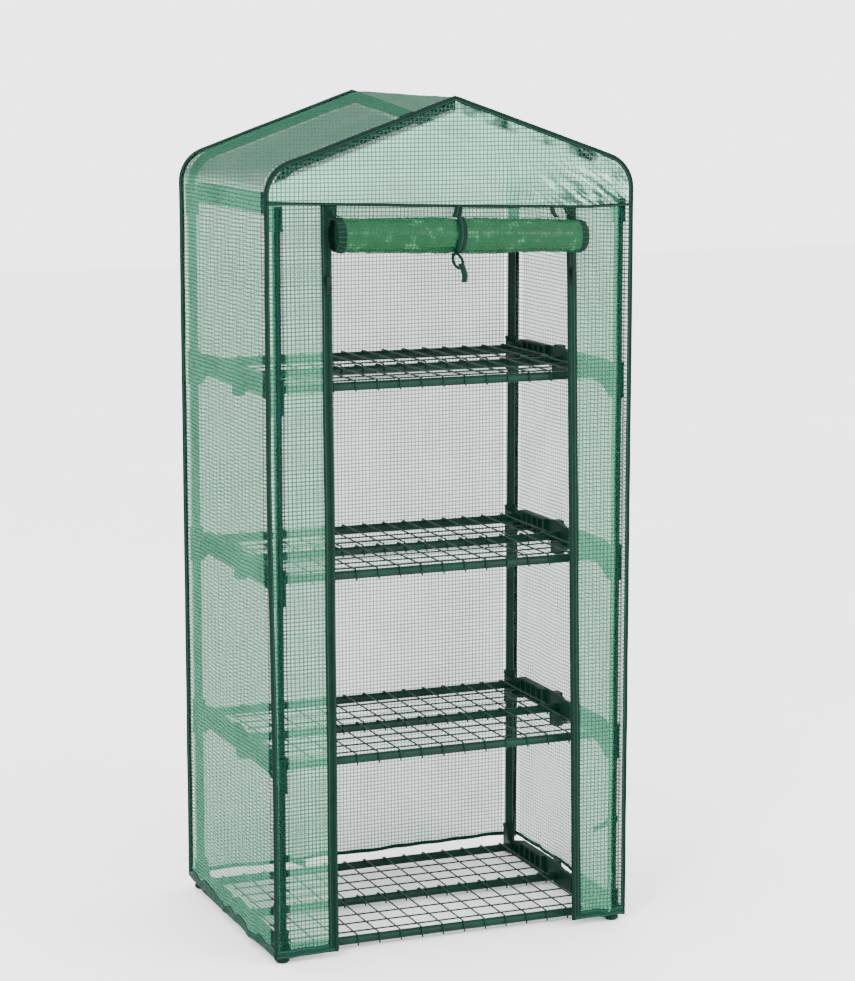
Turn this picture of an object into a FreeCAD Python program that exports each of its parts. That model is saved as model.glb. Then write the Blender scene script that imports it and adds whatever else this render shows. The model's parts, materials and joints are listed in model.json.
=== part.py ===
import FreeCAD, Part
import math
import os

# A four-tier pop up greenhouse. Millimetres, +Z up, front face towards -Y, floor at Z = 0.
# Everything is drawn about the middle of the frame, and save() moves it back by TO_ORIGIN so
# that the origin is under the middle of the whole outline, roll included.

V = FreeCAD.Vector
X_AXIS = V(1, 0, 0)
Y_AXIS = V(0, 1, 0)
Z_AXIS = V(0, 0, 1)
ORIGIN = V(0, 0, 0)
SIDES = (-1, 1)

# Driving dimensions: the cover
WIDTH = 700.0            # outside, side to side
DEPTH = 514.0            # outside, front to rear
RIDGE_Z = 1556.0
EAVE_Z = 1433.0          # where the roof plane and the side plane would meet
EAVE_ROUND = 65.0        # radius between the two
SHEET = 0.8              # thickness of the cover
HEADER_Z = 1370.0        # top of the door opening
FRONT_HEM_Z = 12.0       # lower edges of the front, side and rear panels
SIDE_HEM_Z = 12.0
REAR_HEM_Z = 26.0

# Driving dimensions: the frame
TUBE_R = 8.0
TUBE_WALL = 0.6
POST_X = 332.0
POST_Y = 241.0
PIVOT_Y = 216.0          # front and rear cross tubes, which the side links turn on
TIER_Z = (16.0, 359.0, 702.0, 1045.0)
EAVE_LINK_Z = 1368.0
GABLE_GAP = 12.0         # cover surface to gable tube axis
GABLE_BEND_R = 61.5
APEX_GAP = 4.0           # from the middle to the top of each gable tube
POST_TOP_Z = 1350.0
FOOT_H = 3.0
FOOT_RIM = 2.0
FOOT_PLUG = 14.0
JOINER_WALL = 1.6
JOINER_REACH = 38.0

# Running fit of a link on its tube, and the wider gap where a loop of links is left open
RUN_FIT = 0.05
OPEN_FIT = 0.3

# Side links
LINK_IN = 325.0          # inner face, outer face, and the plane between the two laps
LINK_OUT = 340.0
LAP = 332.0
LAP_GAP = 0.5
LAP_LENGTH = 65.0
LINK_TOP = 22.0          # above the pivot axis
LINK_BOTTOM = 14.0       # below it
LINK_END_R = 12.4
KNUCKLE_DROP = 35.0
KNUCKLE_IN = 316.0       # inner face of the knuckle
STOP_REACH = 25.0        # how far the stop runs behind the middle
STOP_THICK = 6.0
WEB = 3.0
RIB = 4.0
POCKETS = 5              # recesses in each face of a link
POCKET_START = 20.0      # from the pivot

# Sleeve brackets
SLEEVE_R = 12.0
SLEEVE_UP = 22.0
SLEEVE_DOWN = 42.0
COLLAR_H = 4.0
COLLAR_RIM = 1.0
CHEEK_IN = 320.0
CHEEK_OUT = 324.5
CHEEK_R = 13.0
GUSSET_END = 46.0        # how far the gusset runs in from the pivot
EAVE_SLEEVE_UP = 15.0

# Eave links fold inwards on upright pins
EAVE_PIN_R = 3.0
EAVE_END_R = 7.5
EAVE_END_TOP = 10.0
EAVE_ARM = 34.0          # slim arm beside the middle pin
EAVE_POCKET_START = 42.0
PIN_OVERHANG = 2.0
LUG = 4.0

# Wire shelves
WIRE_R = 1.5
WIRE_STEP = 42.5
WIRE_COUNT = 15
CROSS_COUNT = 3
CROSS_STEP = 46.0
CROSS_SINK = 2.7         # cross wires lie this far under the long ones
CROSS_OVERHANG = 4.0
FRONT_CROSS_START = 24.0
REAR_CROSS_START = 46.0
GRID_SHIFT = {"front": -8.0, "rear": 4.0}
HOOK_GAP = 0.4
HOOK_LEG = 9.0

# Door
ZIP_WIDTH = 19.0
ZIP_THICK = 1.6
ZIP_LINE = {"left": (-238.0, -245.5), "right": (251.0, 227.0)}   # x at the floor, x at the header
SLIDER_Z = 1240.0
SLIDER = V(10.0, 5.0, 14.0)
TAB = V(6.0, 2.0, 30.0)
ROLL_R = 32.0
ROLL_WALL = 2.0
ROLL_LEFT = -249.0
ROLL_RIGHT = 234.0
FLAP_LEFT = -232.0       # the flap of door between the header and the roll
FLAP_RIGHT = 214.0
ROLL_OUT = 35.0          # roll axis in front of the cover
ROLL_Z = 1314.0
FLAP_THICK = 1.0
RIBBON_X = -18.0
RIBBON_W = 13.0
RIBBON_THICK = 1.0
RIBBON_TAIL = 54.0

ROLL_FRONT = ROLL_OUT + ROLL_R + HOOK_GAP + RIBBON_THICK
TO_ORIGIN = V(0, ROLL_FRONT / 2, 0)

LINK_LENGTH = PIVOT_Y
ROOF_SLOPE = math.atan2(RIDGE_Z - EAVE_Z, WIDTH / 2)


# ---------------------------------------------------------------- helpers

def save(node, shapes):
    """Writes one node, moved to the part's origin."""
    shape = shapes[0] if len(shapes) == 1 else Part.makeCompound(shapes)
    shape.translate(TO_ORIGIN)
    shape.exportStep("parts/" + node + ".step")


def fuse(shapes):
    whole = shapes[0]
    if len(shapes) > 1:
        whole = whole.multiFuse(shapes[1:])
    return whole.removeSplitter()


def rod(radius, start, end):
    path = end - start
    return Part.makeCylinder(radius, path.Length, start, path)


def tube(start, end, radius=TUBE_R, wall=TUBE_WALL):
    return rod(radius, start, end).cut(rod(radius - wall, start, end))


def box(low, high):
    return Part.makeBox(high[0] - low[0], high[1] - low[1], high[2] - low[2], V(*low))


def plate(points, axis, thickness):
    """A flat outline, pushed along an axis."""
    face = Part.Face(Part.makePolygon(points + points[:1]))
    return face.extrude(axis * thickness)


def side_plate(outline, x_low, x_high):
    """An outline of (y, z) points, pushed along X."""
    return plate([V(x_low, y, z) for y, z in outline], X_AXIS, x_high - x_low)


def to_side(shape, side):
    """Parts of the sides are drawn on the right, and mirrored for the left."""
    return shape.copy() if side > 0 else shape.mirror(ORIGIN, X_AXIS)


def to_end(shape, end):
    """Parts of the ends are drawn at the front, and mirrored for the rear."""
    return shape.copy() if end == "front" else shape.mirror(ORIGIN, Y_AXIS)


def both_sides(shape):
    return [to_side(shape, side) for side in SIDES]


# ---------------------------------------------------------------- tube frame

def post(end):
    """A post is tube sections that meet inside the sleeves."""
    joints = [FOOT_H] + [z - SLEEVE_DOWN / 2 for z in TIER_Z[1:]] + [POST_TOP_Z]
    sections = []
    for low, high in zip(joints, joints[1:]):
        section = tube(V(POST_X, -POST_Y, low), V(POST_X, -POST_Y, high))
        sections += both_sides(to_end(section, end))
    return sections


def feet(end):
    cap = Part.makeCylinder(TUBE_R + FOOT_RIM, FOOT_H, V(POST_X, -POST_Y, 0))
    plug = Part.makeCylinder(TUBE_R - TUBE_WALL, FOOT_PLUG, V(POST_X, -POST_Y, 0))
    return both_sides(to_end(fuse([cap, plug]), end))


def gable_corner():
    """Where the upright and the slope of the gable tube's axis would meet."""
    drop = GABLE_GAP / math.cos(ROOF_SLOPE)
    return RIDGE_Z - drop - POST_X * math.tan(ROOF_SLOPE)


def gable_tube(end):
    corner_z = gable_corner()
    turn = math.pi / 2 - ROOF_SLOPE
    run = GABLE_BEND_R * math.tan(turn / 2)
    start = V(POST_X, -POST_Y, POST_TOP_Z)
    bend_start = V(POST_X, -POST_Y, corner_z - run)
    centre = bend_start - X_AXIS * GABLE_BEND_R
    mid = centre + V(math.cos(turn / 2), 0, math.sin(turn / 2)) * GABLE_BEND_R
    slope = V(-math.cos(ROOF_SLOPE), 0, math.sin(ROOF_SLOPE))
    bend_end = V(POST_X, -POST_Y, corner_z) + slope * run
    top = bend_end + slope * ((bend_end.x - APEX_GAP) / math.cos(ROOF_SLOPE))
    path = Part.Wire([
        Part.LineSegment(start, bend_start).toShape(),
        Part.Arc(bend_start, mid, bend_end).toShape(),
        Part.LineSegment(bend_end, top).toShape(),
    ])
    skins = []
    for radius in (TUBE_R, TUBE_R - TUBE_WALL):
        ring = Part.Wire(Part.makeCircle(radius, start, Z_AXIS))
        skins.append(path.makePipeShell([ring], True, False))
    return both_sides(to_end(skins[0].cut(skins[1]), end))


def apex_joiner(end):
    """A bent sleeve over the tops of the two gable tubes."""
    apex_z = RIDGE_Z - GABLE_GAP / math.cos(ROOF_SLOPE)
    apex = V(0, -POST_Y, apex_z)
    shells = []
    for radius in (TUBE_R + JOINER_WALL, TUBE_R):
        arms = []
        for side in SIDES:
            along = V(side * math.cos(ROOF_SLOPE), 0, -math.sin(ROOF_SLOPE))
            arms.append(rod(radius, apex - along * APEX_GAP, apex + along * JOINER_REACH))
        shells.append(fuse(arms))
    return [to_end(shells[0].cut(shells[1]), end)]


def cross_tube(y, z, half_length=LINK_OUT):
    return tube(V(-half_length, y, z), V(half_length, y, z))


# ---------------------------------------------------------------- sleeve brackets

def sleeve(low, high):
    """Sleeve on a post, with a collar at each end that stops short of the link."""
    body = rod(SLEEVE_R, V(POST_X, -POST_Y, low), V(POST_X, -POST_Y, high))
    rim = SLEEVE_R + COLLAR_RIM
    for z in (low, high - COLLAR_H):
        collar = rod(rim, V(POST_X, -POST_Y, z), V(POST_X, -POST_Y, z + COLLAR_H))
        keep = box((POST_X - rim, -POST_Y - rim, z), (POST_X + rim, -POST_Y + TUBE_R, z + COLLAR_H))
        body = body.fuse(collar.common(keep))
    return body


def post_bore(low, high):
    return rod(TUBE_R, V(POST_X, -POST_Y, low - 1), V(POST_X, -POST_Y, high + 1))


def sleeve_bracket(z, end):
    """Sleeve on the post, cheek that carries the cross tube, arched gusset under the link."""
    lowest_tier = z < SLEEVE_DOWN
    low = FOOT_H if lowest_tier else z - SLEEVE_DOWN
    high = z + SLEEVE_DOWN if lowest_tier else z + SLEEVE_UP
    cheek = rod(CHEEK_R, V(CHEEK_IN, -PIVOT_Y, z), V(CHEEK_OUT, -PIVOT_Y, z))
    tip = -PIVOT_Y + GUSSET_END
    if lowest_tier:
        arch = [(-POST_Y, low), (-PIVOT_Y, low), (-PIVOT_Y, z + CHEEK_R),
                (-PIVOT_Y - 8, z + 20), (-POST_Y + 8, high), (-POST_Y, high)]
        parts = [side_plate(arch, CHEEK_IN, CHEEK_OUT)]
    else:
        under = z - LINK_BOTTOM - 1
        arch = [(-POST_Y, under), (tip, under), (tip, under - RIB), (-PIVOT_Y + 26, under - 6),
                (-PIVOT_Y + 8, under - 12), (-PIVOT_Y - 5, under - 20), (-POST_Y + 10, low),
                (-POST_Y, low)]
        neck = [(-POST_Y, under - 4), (-PIVOT_Y + CHEEK_R, under - 4), (-PIVOT_Y + CHEEK_R, z),
                (-PIVOT_Y, z + CHEEK_R), (-POST_Y, z + CHEEK_R)]
        parts = [side_plate(arch, CHEEK_IN, LAP + 3), side_plate(neck, CHEEK_IN, CHEEK_OUT)]
    body = fuse([sleeve(low, high), cheek] + parts).cut(post_bore(low, high))
    hole = rod(TUBE_R, V(CHEEK_IN - 1, -PIVOT_Y, z), V(CHEEK_OUT + 1, -PIVOT_Y, z))
    return both_sides(to_end(body.cut(hole), end))


def eave_bracket(end):
    """Sleeve with two lugs that hold the eave link's upright pin."""
    z = EAVE_LINK_Z
    low = z - SLEEVE_DOWN
    high = z + EAVE_SLEEVE_UP
    pin = V(POST_X, -PIVOT_Y, 0)
    lugs = []
    for lug_low in (z + EAVE_END_TOP + LAP_GAP, z - LINK_BOTTOM - LAP_GAP - LUG):
        lugs.append(Part.makeCylinder(EAVE_END_R, LUG, pin + Z_AXIS * lug_low))
        lugs.append(box((POST_X - 6, -POST_Y, lug_low), (POST_X + 6, -PIVOT_Y, lug_low + LUG)))
    under = z - LINK_BOTTOM - LAP_GAP - LUG
    gusset = side_plate([(-POST_Y, low), (-POST_Y + 10, low), (-PIVOT_Y - 5, under), (-POST_Y, under)],
                        POST_X - 4, POST_X + 4)
    body = fuse([sleeve(low, high), gusset] + lugs).cut(post_bore(low, high))
    hole = rod(EAVE_PIN_R, pin + Z_AXIS * low, pin + Z_AXIS * (high + LUG))
    return both_sides(to_end(body.cut(hole), end))


def eave_pins(end):
    pin = rod(EAVE_PIN_R, V(POST_X, -PIVOT_Y, EAVE_LINK_Z - LINK_BOTTOM - LUG - LAP_GAP),
              V(POST_X, -PIVOT_Y, EAVE_LINK_Z + EAVE_END_TOP + LUG + LAP_GAP))
    return both_sides(to_end(pin, end))


# ---------------------------------------------------------------- side links

def link_outline(z):
    """Side view of a front half link, from beside its pivot to the middle of the depth."""
    return [(-PIVOT_Y, z + LINK_END_R), (-PIVOT_Y + 36, z + LINK_TOP), (0, z + LINK_TOP),
            (0, z - LINK_BOTTOM), (-PIVOT_Y + 10, z - LINK_BOTTOM), (-PIVOT_Y, z - LINK_END_R)]


def pockets(first, last, z, first_top):
    """Ribbed faces: rows of recesses on the inside and the outside of a link."""
    pitch = (last - first) / POCKETS
    depth = (LINK_OUT - LINK_IN - WEB) / 2
    cuts = []
    for n in range(POCKETS):
        y = first + n * pitch
        top = z - RIB + (first_top if n == 0 else LINK_TOP)
        for x in (LINK_IN - 1, LINK_OUT - depth):
            cuts.append(box((x, y, z - LINK_BOTTOM + RIB), (x + depth + 1, y + pitch - RIB, top)))
    return cuts


def raw_link(z):
    """A half link before its lap is cut: end round the pivot, ribbed web, round middle."""
    end = rod(LINK_END_R, V(LINK_IN, -PIVOT_Y, z), V(LINK_OUT, -PIVOT_Y, z))
    nose = rod(LINK_BOTTOM, V(LINK_IN, 0, z), V(LINK_OUT, 0, z))
    bar = side_plate(link_outline(z), LINK_IN, LINK_OUT)
    whole = fuse([bar, end, nose])
    for pocket in pockets(-PIVOT_Y + POCKET_START, -LAP_LENGTH - RIB, z, LINK_END_R):
        whole = whole.cut(pocket)
    return whole


def turning_hole(y, z, fit):
    return rod(TUBE_R + fit, V(LINK_IN - 10, y, z), V(LINK_OUT + 10, y, z))


def lap_space(z, x_low, x_high):
    """What is cut from a link so that the other one can lie beside it."""
    return box((x_low, -LAP_LENGTH, z - 60), (x_high, 60, z + 60))


def front_link(z):
    """Inner lap, the knuckle under it, and the stop that holds the rear link level."""
    body = raw_link(z).cut(lap_space(z, LAP, LINK_OUT + 1))
    top = z + LINK_TOP
    stop_top = top + STOP_THICK
    shelf = side_plate([(-30, top - 4), (STOP_REACH, top - 12), (STOP_REACH, stop_top), (2, stop_top),
                        (-30, top)], LINK_IN, LAP)
    stop = box((LINK_IN, 2, top + LAP_GAP), (LINK_OUT, STOP_REACH, stop_top))
    side = side_plate([(0, z), (14, z), (STOP_REACH, top - 12), (STOP_REACH, top), (0, top)], LINK_IN, LAP)
    pieces = [body, shelf, side, stop]
    clear_of_floor = z - KNUCKLE_DROP > FOOT_H
    if clear_of_floor:
        under = z - LINK_BOTTOM
        block = [(-50, under + 2), (-50, under), (-28, under - 12), (-22, under - 12),
                 (-12, z - KNUCKLE_DROP), (12, z - KNUCKLE_DROP), (14, under), (14, z)]
        pieces.append(side_plate(block, KNUCKLE_IN, LAP))
    body = fuse(pieces)
    body = body.cut(turning_hole(-PIVOT_Y, z, RUN_FIT))
    return both_sides(body.cut(turning_hole(0, z, 0)))


def rear_link(z, rear_fit):
    """Outer lap, mirrored to the rear half."""
    body = raw_link(z).cut(lap_space(z, LINK_IN - 1, LAP + LAP_GAP))
    body = body.cut(turning_hole(0, z, RUN_FIT))
    body = body.cut(turning_hole(-PIVOT_Y, z, rear_fit))
    return both_sides(to_end(body, "rear"))


def eave_link(end, side):
    """Half link that folds inwards on an upright pin; the front one has the outer barrels."""
    z = EAVE_LINK_Z
    low = z - LINK_BOTTOM
    top = z + LINK_TOP
    arm_face = LAP - LAP_GAP
    bar = side_plate([(-PIVOT_Y, z + EAVE_END_TOP), (-PIVOT_Y + 22, z + EAVE_END_TOP),
                      (-PIVOT_Y + 40, top), (-EAVE_ARM, top), (-EAVE_ARM, low), (-PIVOT_Y, low)],
                     LINK_IN, LINK_OUT)
    end_round = Part.makeCylinder(EAVE_END_R, EAVE_END_TOP + LINK_BOTTOM, V(LAP + LAP_GAP, -PIVOT_Y, low))
    arm = box((LINK_IN, -EAVE_ARM, low), (arm_face, 0, top))
    gap = Part.makeCylinder(EAVE_END_R + 1, top - low + 2, V(POST_X, 0, low - 1))
    body = fuse([bar, end_round, arm.cut(gap)])
    third = (top - low) / 3
    spans = [(low, low + third), (top - third, top)]
    if end == "rear":
        spans = [(low + third + LAP_GAP, top - third - LAP_GAP)]
    for span_low, span_high in spans:
        barrel = Part.makeCylinder(EAVE_END_R - 0.5, span_high - span_low, V(POST_X, 0, span_low))
        tongue = box((LINK_IN + 0.5, -EAVE_ARM / 2, span_low), (arm_face, 0, span_high))
        body = fuse([body, barrel, tongue])
    for pocket in pockets(-PIVOT_Y + EAVE_POCKET_START, -EAVE_ARM - RIB, z, LINK_TOP):
        body = body.cut(pocket)
    middle_fit = 0 if end == "front" else RUN_FIT
    end_fit = RUN_FIT if end == "front" else OPEN_FIT
    middle = rod(EAVE_PIN_R + middle_fit, V(POST_X, 0, low - 1), V(POST_X, 0, top + 1))
    pivot = rod(EAVE_PIN_R + end_fit, V(POST_X, -PIVOT_Y, low - 1), V(POST_X, -PIVOT_Y, top + 1))
    return [to_side(to_end(body.cut(middle).cut(pivot), end), side)]


def knuckle_pin(side):
    low = EAVE_LINK_Z - LINK_BOTTOM - PIN_OVERHANG
    high = EAVE_LINK_Z + LINK_TOP + PIN_OVERHANG
    return [to_side(rod(EAVE_PIN_R, V(POST_X, 0, low), V(POST_X, 0, high)), side)]


# ---------------------------------------------------------------- wire shelves

def hook(x, y, z, outward):
    """A quarter turn of wire over a tube, and the leg that hangs beside it."""
    bend = TUBE_R + HOOK_GAP + WIRE_R
    top = V(x, y, z + bend)
    side = V(x, y + outward * bend, z)
    mid = V(x, y + outward * bend * math.sin(math.pi / 4), z + bend * math.cos(math.pi / 4))
    path = Part.Wire([Part.Arc(top, mid, side).toShape(),
                      Part.LineSegment(side, side - Z_AXIS * HOOK_LEG).toShape()])
    ring = Part.Wire(Part.makeCircle(WIRE_R, top, Y_AXIS))
    return path.makePipeShell([ring], True, False)


def half_grid(half, z):
    """Long wires hooked over two tubes, with three cross wires fixed under them."""
    near = -PIVOT_Y if half == "front" else 0
    far = near + LINK_LENGTH
    wire_z = z + TUBE_R + HOOK_GAP + WIRE_R
    middle = GRID_SHIFT[half]
    places = [middle + (n - (WIRE_COUNT - 1) / 2) * WIRE_STEP for n in range(WIRE_COUNT)]
    wires = []
    for x in places:
        wires.append(rod(WIRE_R, V(x, near, wire_z), V(x, far, wire_z)))
        wires.append(hook(x, near, z, -1))
        wires.append(hook(x, far, z, 1))
    cross_z = wire_z - CROSS_SINK
    cross_left = places[0] - CROSS_OVERHANG
    cross_right = places[-1] + CROSS_OVERHANG
    first = FRONT_CROSS_START if half == "front" else REAR_CROSS_START
    for n in range(CROSS_COUNT):
        y = near + first + n * CROSS_STEP
        wires.append(rod(WIRE_R, V(cross_left, y, cross_z), V(cross_right, y, cross_z)))
    return [wires[0].multiFuse(wires[1:])]


# ---------------------------------------------------------------- cover

def cover_outline(bottom_z, inset=0.0):
    """Front view of the cover: a gable with rounded eaves, as a closed wire in the XZ plane."""
    half = WIDTH / 2 - inset
    radius = EAVE_ROUND - inset
    ridge = RIDGE_Z - inset / math.cos(ROOF_SLOPE)
    corner = ridge - half * math.tan(ROOF_SLOPE)
    turn = math.pi / 2 - ROOF_SLOPE
    run = radius * math.tan(turn / 2)
    edges = [Part.LineSegment(V(half, 0, bottom_z), V(half, 0, corner - run))]
    ends = []
    for side in SIDES:
        start = V(side * half, 0, corner - run)
        middle = V(side * (half - radius + radius * math.cos(turn / 2)), 0,
                   corner - run + radius * math.sin(turn / 2))
        stop = V(side * (half - run * math.cos(ROOF_SLOPE)), 0, corner + run * math.sin(ROOF_SLOPE))
        edges.append(Part.Arc(start, middle, stop))
        ends.append(stop)
    edges.append(Part.LineSegment(ends[1], V(0, 0, ridge)))
    edges.append(Part.LineSegment(V(0, 0, ridge), ends[0]))
    edges.append(Part.LineSegment(V(-half, 0, corner - run), V(-half, 0, bottom_z)))
    edges.append(Part.LineSegment(V(-half, 0, bottom_z), V(half, 0, bottom_z)))
    return Part.Wire(Part.__sortEdges__([edge.toShape() for edge in edges]))


def prism(bottom_z, inset, y_low, y_high):
    face = Part.Face(cover_outline(bottom_z, inset))
    face.translate(V(0, y_low, 0))
    return face.extrude(V(0, y_high - y_low, 0))


def zip_x(side, z):
    at_floor, at_header = ZIP_LINE[side]
    return at_floor + (at_header - at_floor) * z / HEADER_Z


def cover_front():
    """Gable, header and the two strips beside the door opening, in one sheet."""
    front = -DEPTH / 2
    sheet = prism(FRONT_HEM_Z, 0, front, front + SHEET)
    edge = ZIP_WIDTH / 2
    corners = [("left", 0, edge), ("right", 0, -edge), ("right", HEADER_Z, -edge), ("left", HEADER_Z, edge)]
    opening = plate([V(zip_x(side, z) + shift, front - 1, z) for side, z, shift in corners],
                    Y_AXIS, SHEET + 2)
    return [sheet.cut(opening)]


def cover_rear():
    return [prism(REAR_HEM_Z, 0, DEPTH / 2 - SHEET, DEPTH / 2)]


def cover_shell():
    """The band of sheet round the sides and over the roof, between the front and rear panels."""
    low = -DEPTH / 2 + SHEET
    high = DEPTH / 2 - SHEET
    return prism(SIDE_HEM_Z, 0, low, high).cut(prism(SIDE_HEM_Z - 5, SHEET, low - 5, high + 5))


def eave_split(z_low, z_high):
    return box((-WIDTH, -DEPTH, z_low), (WIDTH, DEPTH, z_high))


def roof_edge():
    """Height where the side walls end and the rounded eaves begin."""
    return EAVE_Z - EAVE_ROUND * math.tan((math.pi / 2 - ROOF_SLOPE) / 2)


# ---------------------------------------------------------------- door

def zip_tape(side):
    front = -DEPTH / 2
    half = ZIP_WIDTH / 2
    corners = [(FRONT_HEM_Z, -half), (FRONT_HEM_Z, half), (HEADER_Z, half), (HEADER_Z, -half)]
    face = [V(zip_x(side, z) + shift, front - ZIP_THICK, z) for z, shift in corners]
    return plate(face, Y_AXIS, ZIP_THICK)


def zip_slider(side):
    """Slider body on the zip with its pull tab hanging in front."""
    x = zip_x(side, SLIDER_Z)
    back = -DEPTH / 2 - ZIP_THICK - LAP_GAP
    face = back - SLIDER.y
    top = SLIDER_Z + SLIDER.z / 2
    body = box((x - SLIDER.x / 2, face, top - SLIDER.z), (x + SLIDER.x / 2, back, top))
    tab_top = top - 1
    tab = box((x - TAB.x / 2, face - 1 - TAB.y, tab_top - TAB.z), (x + TAB.x / 2, face - 1, tab_top))
    nose = rod(2.5, V(x, face - 2, tab_top - 2.5), V(x, back - 4, tab_top - 2.5))
    return [fuse([body, nose, tab])]


def door_roll():
    """The rolled door, and the flap of it that runs up to the header."""
    front = -DEPTH / 2
    axis_y = front - ROLL_OUT
    roll = tube(V(ROLL_LEFT, axis_y, ROLL_Z), V(ROLL_RIGHT, axis_y, ROLL_Z), ROLL_R, ROLL_WALL)
    back = axis_y + ROLL_R
    flap = box((FLAP_LEFT, back - FLAP_THICK, ROLL_Z), (FLAP_RIGHT, back, HEADER_Z - 2))
    inside = rod(ROLL_R - ROLL_WALL, V(ROLL_LEFT, axis_y, ROLL_Z), V(ROLL_RIGHT, axis_y, ROLL_Z))
    return [roll.fuse(flap.cut(inside)).removeSplitter()]


def roll_ribbon():
    """Tie ribbon round the middle of the roll, with its tail below."""
    axis_y = -DEPTH / 2 - ROLL_OUT
    low_x = RIBBON_X - RIBBON_W / 2
    high_x = RIBBON_X + RIBBON_W / 2
    radius = ROLL_R + HOOK_GAP + RIBBON_THICK
    ring = tube(V(low_x, axis_y, ROLL_Z), V(high_x, axis_y, ROLL_Z), radius, RIBBON_THICK)
    behind = box((low_x - 1, axis_y, ROLL_Z - radius), (high_x + 1, axis_y + radius, ROLL_Z + radius))
    inner = ROLL_Z + radius - RIBBON_THICK
    top_y = axis_y + ROLL_R - 4
    up = side_plate([(axis_y, ROLL_Z + radius), (axis_y, inner), (top_y, HEADER_Z - 3),
                     (top_y, HEADER_Z - 2)], low_x, high_x)
    tail = box((low_x, axis_y - RIBBON_THICK, ROLL_Z - radius - RIBBON_TAIL),
               (high_x, axis_y, ROLL_Z - radius + RIBBON_THICK))
    return [fuse([ring.cut(behind), up, tail])]


# ---------------------------------------------------------------- the whole part

def build():
    os.makedirs("parts", exist_ok=True)
    for end, y in (("front", -PIVOT_Y), ("rear", PIVOT_Y)):
        save(end + "_posts", post(end))
        save(end + "_feet", feet(end))
        save(end + "_gable_tubes", gable_tube(end))
        save(end + "_apex_joiner", apex_joiner(end))
        save(end + "_cross_tubes", [cross_tube(y, z) for z in TIER_Z])
        save(end + "_eave_brackets", eave_bracket(end))
        save(end + "_eave_pins", eave_pins(end))
        for tier, z in enumerate(TIER_Z, 1):
            save("%s_brackets_%d" % (end, tier), sleeve_bracket(z, end))
            save("%s_grid_%d" % (end, tier), half_grid(end, z))
        for name, side in (("left", -1), ("right", 1)):
            save("%s_%s_eave_link" % (name, end), eave_link(end, side))
    for tier, z in enumerate(TIER_Z, 1):
        save("mid_tube_%d" % tier, [cross_tube(0, z)])
        save("front_links_%d" % tier, front_link(z))
        save("rear_links_%d" % tier, rear_link(z, RUN_FIT if tier == 1 else OPEN_FIT))
    for name, side in (("left", -1), ("right", 1)):
        save(name + "_knuckle_pin", knuckle_pin(side))
        save(name + "_zip_slider", zip_slider(name))
    shell = cover_shell()
    edge_z = roof_edge()
    save("cover_front", cover_front())
    save("cover_rear", cover_rear())
    save("cover_sides", shell.common(eave_split(0, edge_z)).Solids)
    save("cover_roof", [shell.common(eave_split(edge_z, RIDGE_Z + 10))])
    save("zip_tapes", [zip_tape("left"), zip_tape("right")])
    save("door_roll", door_roll())
    save("roll_ribbon", roll_ribbon())


build()
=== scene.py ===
import json
import math
import bmesh
import bpy
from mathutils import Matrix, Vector, noise


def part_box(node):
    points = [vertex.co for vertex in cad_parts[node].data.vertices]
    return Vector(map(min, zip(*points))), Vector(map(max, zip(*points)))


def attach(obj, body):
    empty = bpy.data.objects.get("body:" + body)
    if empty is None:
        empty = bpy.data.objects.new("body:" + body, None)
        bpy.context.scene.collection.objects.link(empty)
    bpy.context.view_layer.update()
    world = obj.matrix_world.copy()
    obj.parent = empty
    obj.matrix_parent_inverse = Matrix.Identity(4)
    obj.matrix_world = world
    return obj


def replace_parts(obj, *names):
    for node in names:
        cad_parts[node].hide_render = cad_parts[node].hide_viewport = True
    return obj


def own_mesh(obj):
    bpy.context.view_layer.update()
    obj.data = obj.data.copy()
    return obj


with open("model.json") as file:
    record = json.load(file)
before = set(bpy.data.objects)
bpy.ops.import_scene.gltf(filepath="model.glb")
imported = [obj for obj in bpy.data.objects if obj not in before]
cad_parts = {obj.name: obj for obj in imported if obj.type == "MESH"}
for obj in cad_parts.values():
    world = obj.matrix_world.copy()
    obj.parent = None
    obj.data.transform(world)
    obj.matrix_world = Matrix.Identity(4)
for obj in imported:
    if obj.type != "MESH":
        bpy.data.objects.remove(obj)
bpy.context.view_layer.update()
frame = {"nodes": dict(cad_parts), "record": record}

# ---------------------------------------------------------------- sizes, in metres

MM = 0.001
front_low, front_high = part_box("cover_front")
rear_low, rear_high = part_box("cover_rear")
side_low, side_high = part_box("cover_sides")
_, tape_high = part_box("zip_tapes")
roll_low, roll_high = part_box("door_roll")
front_post_low, front_post_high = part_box("front_posts")
_, rear_post_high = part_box("rear_posts")

HALF_W = front_high.x
FRONT_Y = front_low.y
REAR_Y = rear_high.y
RIDGE_Z = front_high.z
HEADER_Z = tape_high.z
EAVE_START_Z = side_high.z          # side walls end and the rounded eaves begin
EAVE_Z = 1.433                      # where the roof and side planes would meet
EAVE_ROUND = 0.065
ROOF_SLOPE = math.atan2(RIDGE_Z - EAVE_Z, HALF_W)
FRONT_HEM_Z = front_low.z
SIDE_HEM_Z = side_low.z
REAR_HEM_Z = rear_low.z
POST_R = 0.008
POST_X = front_post_high.x - POST_R
POST_MID_Y = (front_post_low.y + rear_post_high.y) / 2
POST_HALF_Y = (rear_post_high.y - front_post_low.y) / 2 - POST_R
GABLE_TUBE_DROP = 0.0145            # gable tube's dark band below the roof line
ZIP_WIDTH = 0.019
ROLL_R = 0.032
ROLL_Y = FRONT_Y - 0.035
ROLL_Z = roll_low.z + ROLL_R
ZIP_LOW_X = {"left": -0.238, "right": 0.251}
ZIP_HIGH_X = {"left": -0.2455, "right": 0.227}
ROLL_TILT = -0.028                  # the roll and the header hang a little lower on the right
HEADER_TILT = -0.033
MESH_PITCH = 0.0074                 # reinforcing threads of the cover
THREAD_WIDTH = 0.0021


# ---------------------------------------------------------------- camera

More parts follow.
